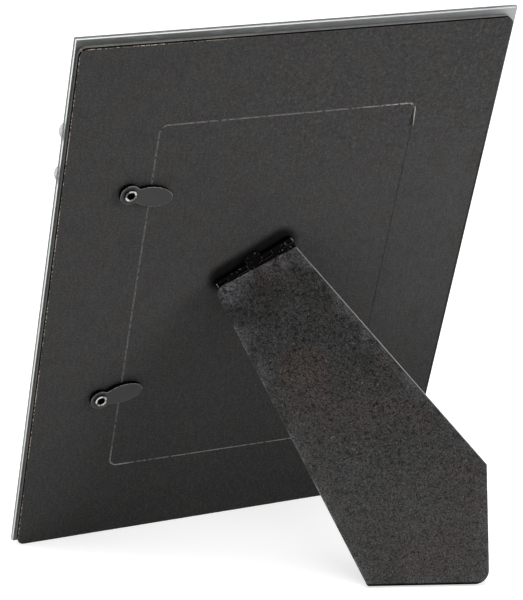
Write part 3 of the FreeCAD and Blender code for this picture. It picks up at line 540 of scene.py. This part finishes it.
def coat_surface():
    """Silvering: a clear mirror towards the glass; on the other side a grey painted backing, with
    painted light that makes it lighter towards the right and lightest at its right end.
    """
    s = Surface("mirror_coat")
    at = s.place()
    x = s.axes(at)[0]
    silver = s.spread(s.outward(), -0.5, -0.6)
    strokes = s.noise(s.stretch(at, (0.2, 1.0, 1.0)), 1.2 * MM, 3.0)
    # Painted light: the grey backing runs from darker at the left to lighter at the right
    backing_paint_and_light = s.mix(s.spread(x, -60 * MM, 85 * MM), (0.12, 0.127, 0.122), (0.26, 0.265, 0.275))
    # Painted light: lightest along the right end
    backing_paint_and_light = s.mix(s.spread(x, 78 * MM, 86 * MM), backing_paint_and_light, (0.46, 0.465, 0.48))
    backing_paint_and_light = s.mix(s.spread(strokes, 0.5, 0.7, 0.0, 0.3), backing_paint_and_light, (0.40, 0.41, 0.41))
    s.set("Base Color", s.mix(silver, backing_paint_and_light, (0.9, 0.905, 0.91)))
    s.set("Metallic", silver)
    s.set("Roughness", s.spread(silver, 0.0, 1.0, 0.35, 0.02))
    return s.material


def bead_surface():
    """Swirled grey glass."""
    s = Surface("bead_glass", Transmission_Weight=0.85, IOR=1.5)
    swirl = s.noise(s.place(), 1.5 * MM, 2.0, 0.5, 1.5)
    s.set("Base Color", s.mix(s.spread(swirl, 0.35, 0.7), (0.30, 0.31, 0.32), (0.60, 0.61, 0.62)))
    s.set("Roughness", s.spread(swirl, 0.3, 0.7, 0.03, 0.12))
    return s.material


def sheet_surface(name, dark, light, roughness, relief, depth):
    """A pale sheet between two tones; relief is its noise's size, detail and roughness."""
    s = Surface(name, Roughness=roughness)
    height = s.noise(s.place(), *relief)
    s.set("Base Color", s.mix(s.spread(height, 0.3, 0.7), dark, light))
    s.set("Normal", s.bump(height, depth, 0.4))
    return s.material


def nickel_surface(name, shaded_tone, bright):
    """Nickel plating, bright in broken patches where its faces turn out of the board; faces turned
    away and the gaps are near black as painted shade.
    """
    s = Surface(name, Metallic=1.0)
    at = s.place()
    wear_and_sheen = s.noise(at, 1.6 * MM, 2.0, 0.6)
    fine = s.noise(at, 0.25 * MM, 2.0)
    polished = s.times(s.spread(s.outward(), 0.5, 0.85), s.spread(wear_and_sheen, 0.42, 0.58, 0.15, 1.0))
    # Painted shade: faces that do not turn out of the board take the near-black tone
    s.set("Base Color", s.mix(polished, shaded_tone, bright))
    s.set("Roughness", s.spread(wear_and_sheen, 0.3, 0.7, 0.30, 0.16))
    s.set("Normal", s.bump(fine, 0.01 * MM, 0.4))
    return s.material


def enamel_surface(name, low, high, rough, gloss, wear_and_sheen, glint_share):
    """Black enamel on metal: slight orange peel, sides and underside near black as painted shade,
    rounded edges rubbed pale, partly as worn enamel and partly as painted highlight, and pale
    specks as painted glints.
    """
    s = Surface(name)
    at = s.place()
    peel = s.noise(at, 0.9 * MM, 2.0)
    clouds = s.noise(at, 5 * MM, 2.0)
    patches = s.noise(at, 2.2 * MM, 2.0, 0.7)
    outward = s.outward()
    # Rounded edges rubbed pale: partly worn enamel, partly a painted highlight where light would
    # catch them
    rounded = s.times(s.spread(outward, 0.97, 0.88), s.spread(outward, 0.45, 0.6),
                      s.spread(patches, 0.38, 0.55, 0.15, 1.0))
    # Painted glints: rare pale specks, standing for small highlights
    painted_glints = s.spread(s.noise(at, 0.9 * MM, 2.0, 0.6), 0.66, 0.70)
    # Painted shade: faces turned away from the board's back go near black, with little sheen
    turned = s.spread(outward, 0.5, 0.3)
    tone = s.mix(s.spread(clouds, 0.3, 0.7), low, high)
    tone = s.stain(tone, rounded, wear_and_sheen, grey(0.42))
    tone = s.stain(tone, painted_glints, glint_share, grey(0.40))
    s.set("Base Color", s.mix(turned, tone, grey(0.001)))
    s.set("Specular IOR Level", s.spread(turned, 0.0, 1.0, gloss, 0.03))
    s.set("Roughness", s.spread(peel, 0.3, 0.7, rough - 0.06, rough + 0.06))
    s.set("Normal", s.bump(peel, 0.02 * MM, 0.4))
    return s.material


SURFACES = {
    "facing": facing_surface(),
    "cover": cover_surface(),
    "fibre": fibre_surface(),
    "glass": glass_surface(),
    "coat": coat_surface(),
    "bead": bead_surface(),
    "film": sheet_surface(
        "adhesive_film", (0.6, 0.6, 0.57), (0.72, 0.72, 0.69),
        roughness=0.35, relief=(4 * MM, 4.0, 0.6), depth=0.1 * MM),
    "card": sheet_surface(
        "picture_card", (0.88, 0.88, 0.86), (0.94, 0.94, 0.92),
        roughness=0.7, relief=(0.8 * MM, 3.0, 0.5), depth=0.02 * MM),
    "nickel": nickel_surface("bright_nickel", grey(0.01), (0.50, 0.495, 0.485)),
    "pin": nickel_surface("oiled_pin", grey(0.02), (0.35, 0.348, 0.342)),
    "enamel": enamel_surface(
        "button_enamel", (0.027, 0.026, 0.027), (0.034, 0.033, 0.033),
        rough=0.42, gloss=0.26, wear_and_sheen=0.7, glint_share=0.0),
    # The hinge's tones sit far below real black enamel: black metal plus painted shade for the dark
    # band round the hinge
    "black": enamel_surface(
        "hinge_enamel", grey(0.001), grey(0.002), rough=0.25, gloss=0.035, wear_and_sheen=0.0, glint_share=0.5),
}

NODE_SURFACES = {
    "glass_plate": "glass",
    "mirror_coat": "coat",
    "bead_upper": "bead",
    "bead_lower": "bead",
    "bond_frame": "film",
    "picture_card": "card",
    "back_board": "fibre",
    "door_panel": "fibre",
    "back_facing": "facing",
    "eyelet_upper": "nickel",
    "eyelet_lower": "nickel",
    "turn_button_upper": "enamel",
    "turn_button_lower": "enamel",
    "hinge_door_leaf": "black",
    "hinge_strut_leaf": "black",
    "hinge_pin": "pin",
    "door_rivets": "black",
    "strut_rivets": "black",
    "strut_core": "fibre",
    "strut_cover": "cover",
    "strut_lining": "facing",
}

for node_name, surface_name in NODE_SURFACES.items():
    for slot in NODES[node_name].material_slots:
        slot.link = "OBJECT"
        slot.material = SURFACES[surface_name]


# Turn buttons and eyelets, rebuilt with rounded edges on the CAD outlines

BUTTON_SHEET = 0.8 * MM
BUTTON_ROUND = 0.3 * MM
SKIRT_DEPTH = 1.7 * MM
SKIRT_WALL = 0.55 * MM
SKIRT_INNER_BEVEL = 0.1 * MM
SKIRT_OUTER_BEVEL = 0.08 * MM
# Radius and depth below the button's top, in millimetres: the dish and bore, then the boss
BUTTON_DISH = (
    (3.35, 0.0), (3.1, 0.03), (2.9, 0.10), (2.7, 0.15), (2.0, 0.15), (1.94, 0.2), (1.94, 2.25))
BUTTON_BOSS = ((2.75, 2.25), (2.9, 2.1), (2.9, 0.8))
EYELET_BORE = 1.45 * MM
EYELET_SHANK = 1.85 * MM
EYELET_RIM = 0.6 * MM
EYELET_BEVEL = 0.1 * MM
ROUND_STEPS = 6
ROLL_STEPS = 14
BUTTON_CIRCLE = 56
EYELET_CIRCLE = 48
COAT_SINK = 0.02 * MM


def new_piece(name, mesh, body, surface, slot, *nodes):
    """A piece that rides on a body and replaces CAD nodes."""
    piece = bpy.data.objects.new(name, mesh)
    bpy.context.scene.collection.objects.link(piece)
    mesh.materials.append(SURFACES[surface])
    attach(piece, body)
    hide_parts(*nodes)


def finish_mesh(bm, name, to_world, sharp_angle):
    """Weld, orient and place a mesh, and shade it smooth up to an angle in degrees."""
    bmesh.ops.remove_doubles(bm, verts=bm.verts, dist=WELD)
    bmesh.ops.recalc_face_normals(bm, faces=bm.faces)
    mesh = bpy.data.meshes.new(name)
    bm.to_mesh(mesh)
    bm.free()
    mesh.transform(to_world)
    for face in mesh.polygons:
        face.use_smooth = True
    mesh.set_sharp_from_angle(angle=math.radians(sharp_angle))
    return mesh


def outline_at(node, height, to_frame):
    """The widest closed outline of a node's flat faces at one height of a frame, in order."""
    bm = bmesh.new()
    bm.from_mesh(NODES[node].data)
    bmesh.ops.transform(bm, matrix=to_frame, verts=bm.verts)
    bmesh.ops.remove_doubles(bm, verts=bm.verts, dist=WELD)
    level = [f for f in bm.faces if all(abs(v.co.z - height) < SAME_LEVEL for v in f.verts)]
    chosen = set(level)
    rim = [e for f in level for e in f.edges if sum(g in chosen for g in e.link_faces) == 1]
    after = {}
    for edge in rim:
        for first, second in (edge.verts, reversed(edge.verts)):
            after.setdefault(first, []).append(second)
    loops = []
    while after:
        start = next(iter(after))
        loop = [start]
        current = start
        while True:
            following = [v for v in after.pop(current, []) if v in after or v is start]
            following = [v for v in following if len(loop) < 2 or v is not loop[-2]]
            if not following or following[0] is start:
                break
            current = following[0]
            loop.append(current)
        loops.append([v.co.to_2d().copy() for v in loop])
    bm.free()
    widest = max(loops, key=lambda loop: max(p.x for p in loop) - min(p.x for p in loop))
    area = sum(a.x * b.y - b.x * a.y for a, b in zip(widest, widest[1:] + widest[:1]))
    return widest if area > 0 else widest[::-1]


def inset_loop(points, inset):
    """A counter-clockwise loop moved inwards."""
    moved = []
    for before, point, after in zip(points[-1:] + points[:-1], points, points[1:] + points[:1]):
        way = (after - before).normalized()
        moved.append(point + Vector((-way.y, way.x)) * inset)
    return moved


def circle(radius, count):
    turns = [2 * math.pi / count * i for i in range(count)]
    return [Vector((radius * math.cos(turn), radius * math.sin(turn))) for turn in turns]


def add_ring(bm, points, height):
    return [bm.verts.new((p.x, p.y, height)) for p in points]


def bridge(bm, rings):
    for low, high in zip(rings, rings[1:]):
        count = len(low)
        for i in range(count):
            bm.faces.new((low[i], low[(i + 1) % count], high[(i + 1) % count], high[i]))


def fill_between(bm, *rings):
    """Flat faces between closed rings, the outer one first."""
    edges = []
    for ring in rings:
        for first, second in zip(ring, ring[1:] + ring[:1]):
            edges.append(bm.edges.get((first, second)) or bm.edges.new((first, second)))
    bmesh.ops.triangle_fill(bm, use_beauty=True, use_dissolve=False, edges=edges)


def button_frame(joint):
    """The back frame moved to a turn button's pivot, on the facing's surface."""
    pivot = TO_BACK @ Vector(JOINTS[joint]["pos_m"])
    return BACK @ Matrix.Translation((pivot.x, pivot.y, 0))


def turn_button(name, joint, body, node):
    """A stamped button: rounded top edge, skirt turned down all round, dish for the eyelet."""
    place = button_frame(joint)
    to_place = place.inverted()
    top = node_box(node, to_place)[1].z
    outline = outline_at(node, top - BUTTON_SHEET, to_place)
    skirt = top - SKIRT_DEPTH
    steps = [
        (SKIRT_WALL, top - BUTTON_SHEET),
        (SKIRT_WALL, skirt + SKIRT_INNER_BEVEL),
        (SKIRT_WALL - SKIRT_INNER_BEVEL, skirt),
        (SKIRT_OUTER_BEVEL, skirt),
        (0.0, skirt + SKIRT_OUTER_BEVEL),
    ]
    for k in range(ROUND_STEPS + 1):
        turn = math.pi / 2 * k / ROUND_STEPS
        steps.append((BUTTON_ROUND * (1 - math.cos(turn)),
                      top - BUTTON_ROUND + BUTTON_ROUND * math.sin(turn)))
    bm = bmesh.new()
    outer = [add_ring(bm, inset_loop(outline, inset), height) for inset, height in steps]
    bridge(bm, outer)
    inner = [add_ring(bm, circle(r * MM, BUTTON_CIRCLE), top - d * MM) for r, d in BUTTON_DISH]
    bridge(bm, inner)
    fill_between(bm, outer[-1], inner[0])
    boss = [add_ring(bm, circle(r * MM, BUTTON_CIRCLE), top - d * MM) for r, d in BUTTON_BOSS]
    bridge(bm, inner[-1:] + boss)
    fill_between(bm, outer[0], boss[-1])
    mesh = finish_mesh(bm, name, place, sharp_angle=40)
    new_piece(name, mesh, body, "enamel", "black_metal", node)


def eyelet(name, joint, node):
    """A hollow rivet turned on its axis, with a rolled rim over the button."""
    place = button_frame(joint)
    low, high = node_box(node, place.inverted())
    middle = (EYELET_BORE + high.x) / 2
    profile = [
        (EYELET_BORE, low.z + EYELET_BEVEL),
        (EYELET_BORE + EYELET_BEVEL, low.z),
        (high.x, low.z),
        (high.x, low.z + EYELET_RIM / 2),
        (EYELET_SHANK, low.z + EYELET_RIM),
        (EYELET_SHANK, high.z - EYELET_RIM),
    ]
    for k in range(ROLL_STEPS + 1):
        turn = math.radians(-90 + 270 * k / ROLL_STEPS)
        profile.append((middle + (high.x - middle) * math.cos(turn),
                        high.z - EYELET_RIM / 2 + EYELET_RIM / 2 * math.sin(turn)))
    bm = bmesh.new()
    rings = [add_ring(bm, circle(r, EYELET_CIRCLE), z) for r, z in profile]
    bridge(bm, rings + rings[:1])
    mesh = finish_mesh(bm, name, place, sharp_angle=50)
    new_piece(name, mesh, "frame", "nickel", "plated_steel", node)


def silvered_coat():
    """The coat's own shape, its front sunk a hair into the glass so that it reflects cleanly."""
    mesh = NODES["mirror_coat"].data.copy()
    mesh.name = "mirror_coat_bonded"
    mesh.materials.clear()
    front = node_box("mirror_coat")[0].z
    for vertex in mesh.vertices:
        if (TO_BACK @ vertex.co).z < front + SAME_LEVEL:
            vertex.co -= OUT * COAT_SINK
    new_piece(mesh.name, mesh, "frame", "coat", "silvering", "mirror_coat")


silvered_coat()
turn_button("turn_button_upper_rounded", "upper_button_turn", "button_upper", "turn_button_upper")
turn_button("turn_button_lower_rounded", "lower_button_turn", "button_lower", "turn_button_lower")
eyelet("eyelet_upper_rolled", "upper_button_turn", "eyelet_upper")
eyelet("eyelet_lower_rolled", "lower_button_turn", "eyelet_lower")


# Floor, light and camera

FLOOR_REACH = 4.0
FLOOR_COLOUR = grey(0.62)
# The floor's own light where it is looked at, and the distances over which it rises to white
FLOOR_GLOW = 0.68
GLOW_START = 0.35
GLOW_FULL = 1.0
LIT_AT = Vector((0.0, 0.0, 0.1))
FILL_LIGHT = 0.33
WHITE = 1.0


def stage_floor():
    """Pale paper floor, which turns white away from the object where it is looked at."""
    mesh = bpy.data.meshes.new("floor")
    signs = ((-1, -1), (1, -1), (1, 1), (-1, 1))
    mesh.from_pydata([(x * FLOOR_REACH, y * FLOOR_REACH, 0) for x, y in signs], [], [(0, 1, 2, 3)])
    floor = bpy.data.objects.new("floor", mesh)
    bpy.context.scene.collection.objects.link(floor)
    s = Surface("floor_paper", Base_Color=FLOOR_COLOUR, Roughness=0.9, Specular_IOR_Level=0.1)
    path = s.node("ShaderNodeLightPath").outputs
    seen = s.math("MAXIMUM", path["Is Glossy Ray"], path["Is Transmission Ray"])
    seen = s.math("MAXIMUM", path["Is Camera Ray"], seen)
    distance = s.vector("LENGTH", s.at_rest())
    s.set("Emission Color", grey(1.0))
    glow = s.spread(distance, GLOW_START, GLOW_FULL, FLOOR_GLOW, WHITE)
    s.set("Emission Strength", s.times(seen, glow))
    mesh.materials.append(s.material)


def area_light(name, at, size, power):
    light = bpy.data.lights.new(name, "AREA")
    light.shape = "SQUARE"
    light.size = size
    light.energy = power
    lamp = bpy.data.objects.new(name, light)
    bpy.context.scene.collection.objects.link(lamp)
    lamp.location = at
    lamp.visible_glossy = False
    lamp.rotation_euler = (LIT_AT - Vector(at)).to_track_quat("-Z", "Y").to_euler()


def white_world():
    """Plain light all round, and white where the camera, gloss or glass looks past the object."""
    world = bpy.data.worlds.new("studio")
    bpy.context.scene.world = world
    world.use_nodes = True
    tree = world.node_tree
    background = tree.nodes["Background"]
    background.inputs["Color"].default_value = (1, 1, 1, 1)
    path = tree.nodes.new("ShaderNodeLightPath")
    seen = path.outputs["Is Camera Ray"]
    for name in ("Is Glossy Ray", "Is Transmission Ray"):
        either = tree.nodes.new("ShaderNodeMath")
        either.operation = "MAXIMUM"
        tree.links.new(seen, either.inputs[0])
        tree.links.new(path.outputs[name], either.inputs[1])
        seen = either.outputs[0]
    level = tree.nodes.new("ShaderNodeMapRange")
    level.inputs["To Min"].default_value = FILL_LIGHT
    level.inputs["To Max"].default_value = WHITE
    tree.links.new(seen, level.inputs["Value"])
    tree.links.new(level.outputs["Result"], background.inputs["Strength"])


def photo_camera():
    """The photograph's view, solved in the back frame from the board's edges and the strut."""
    data = bpy.data.cameras.new("camera")
    data.sensor_fit = "VERTICAL"
    data.sensor_height = 36.0
    data.lens = 149.98
    camera = bpy.data.objects.new("camera", data)
    bpy.context.scene.collection.objects.link(camera)
    right = Vector((0.90249, 0.15236, 0.40287))
    down = Vector((-0.11292, -0.81893, 0.56267))
    ahead = Vector((0.41565, -0.55329, -0.72187))
    eye = Vector((-0.3997, 0.6406, 0.6976))
    turn = Matrix((right, -down, -ahead)).transposed().to_4x4()
    camera.matrix_world = BACK @ Matrix.Translation(eye) @ turn
    bpy.context.scene.camera = camera


stage_floor()
area_light("overhead", at=(0.15, 0.05, 1.3), size=1.0, power=20.0)
area_light("right", at=(-1.15, 0.95, 0.55), size=0.55, power=10.8)
white_world()
photo_camera()
bpy.context.scene.view_settings.view_transform = "Standard"
